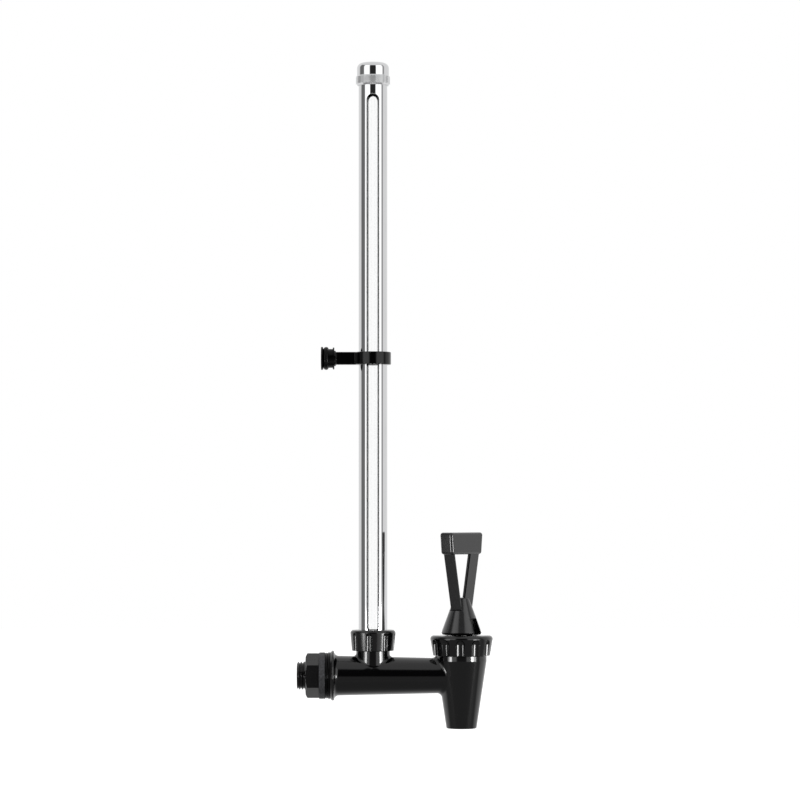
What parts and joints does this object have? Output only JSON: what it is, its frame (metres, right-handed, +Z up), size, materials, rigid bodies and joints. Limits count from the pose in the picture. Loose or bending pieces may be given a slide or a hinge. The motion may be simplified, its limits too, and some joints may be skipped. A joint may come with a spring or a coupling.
{
  "type": "drinks dispenser tap with level gauge",
  "caption": "Lever-tilt drinks dispenser tap with a wall shank and nut, a drooping spout and a tall slotted shield round a level-gauge glass with a wall bracket.",
  "frame": {"origin": "on the shank's axis, at the flange's face towards the tank wall", "axes": "+X from the tank out along the shank towards the spout, +Z up along the gauge, +Y to the back of the pictured view"},
  "size_m": [0.1106, 0.0354, 0.3765],
  "materials": {
    "body_plastic": "moulded black plastic with a soft gloss",
    "handle_plastic": "moulded black plastic, satin",
    "stem_plastic": "natural white plastic",
    "washer_plastic": "rough dark grey plastic",
    "bracket_plastic": "moulded black plastic",
    "seat_rubber": "translucent white silicone",
    "black_rubber": "soft black rubber",
    "spring_steel": "drawn stainless steel",
    "plated_metal": "bright chrome plate",
    "gauge_glass": "clear drawn glass"
  },
  "bodies": {
    "tap": {"tap_body": "body_plastic", "bonnet": "body_plastic", "flange_washer": "black_rubber", "inner_washer": "black_rubber", "gauge_gasket": "black_rubber", "gauge_glass": "gauge_glass", "glass_bushing": "seat_rubber", "gauge_shield": "plated_metal", "spring": "spring_steel"},
    "valve": {"seat_cup": "seat_rubber", "spring_washer": "spring_steel"},
    "lifter": {"stem": "stem_plastic"},
    "lever": {"handle": "handle_plastic", "handle_pin": "spring_steel"},
    "shank_nut_carrier": {"nut_washer": "washer_plastic"},
    "tank_nut": {"shank_nut": "body_plastic"},
    "gauge_nut_carrier": {"slip_washer": "washer_plastic"},
    "shield_nut": {"gauge_nut": "body_plastic"},
    "cap_carrier": {"cap_cushion": "black_rubber"},
    "vent_cap": {"cap": "plated_metal"},
    "wall_bracket": {"bracket": "bracket_plastic", "grommet": "black_rubber"}
  },
  "joints": [
    {"name": "stem_lift", "type": "slide", "parent": "tap", "child": "valve", "axis": [0, 0, 1], "range_m": [0, 0.0035], "deforming": ["seat_cup", "spring"]},
    {"name": "handle_swivel", "type": "hinge", "parent": "valve", "child": "lifter", "pos_m": [0.074, 0, 0], "axis": [0, 0, 1], "continuous": true},
    {"name": "handle_tilt", "type": "hinge", "parent": "lifter", "child": "lever", "pos_m": [0.074, 0, 0.0319], "axis": [0.5736, 0.8192, 0], "range_deg": [0, 25], "stiffness_Nm_per_rad": 0.0512, "springref_deg": -57.3},
    {"name": "tank_nut_travel", "type": "slide", "parent": "tap", "child": "shank_nut_carrier", "axis": [-1, 0, 0], "range_m": [0, 0.00955]},
    {"name": "tank_nut_turn", "type": "hinge", "parent": "shank_nut_carrier", "child": "tank_nut", "pos_m": [0, 0, 0], "axis": [-1, 0, 0], "range_deg": [0, 2160]},
    {"name": "shield_nut_rise", "type": "slide", "parent": "tap", "child": "gauge_nut_carrier", "axis": [0, 0, 1], "range_m": [0, 0.00601]},
    {"name": "shield_nut_turn", "type": "hinge", "parent": "gauge_nut_carrier", "child": "shield_nut", "pos_m": [0.024, 0, 0], "axis": [0, 0, 1], "range_deg": [0, 1440]},
    {"name": "cap_rise", "type": "slide", "parent": "tap", "child": "cap_carrier", "axis": [0, 0, 1], "range_m": [0, 0.0051]},
    {"name": "cap_turn", "type": "hinge", "parent": "cap_carrier", "child": "vent_cap", "pos_m": [0.024, 0, 0], "axis": [0, 0, 1], "range_deg": [0, 1440]},
    {"name": "bracket_slide", "type": "slide", "parent": "tap", "child": "wall_bracket", "axis": [0, 0, 1], "range_m": [-0.12, 0.12]}
  ],
  "couplings": [
    {"joint": "stem_lift", "follows": "handle_tilt", "m_per_rad": 0.008},
    {"joint": "tank_nut_travel", "follows": "tank_nut_turn", "m_per_rad": 0.00025306},
    {"joint": "shield_nut_rise", "follows": "shield_nut_turn", "m_per_rad": 0.00023873},
    {"joint": "cap_rise", "follows": "cap_turn", "m_per_rad": 0.00020213}
  ]
}
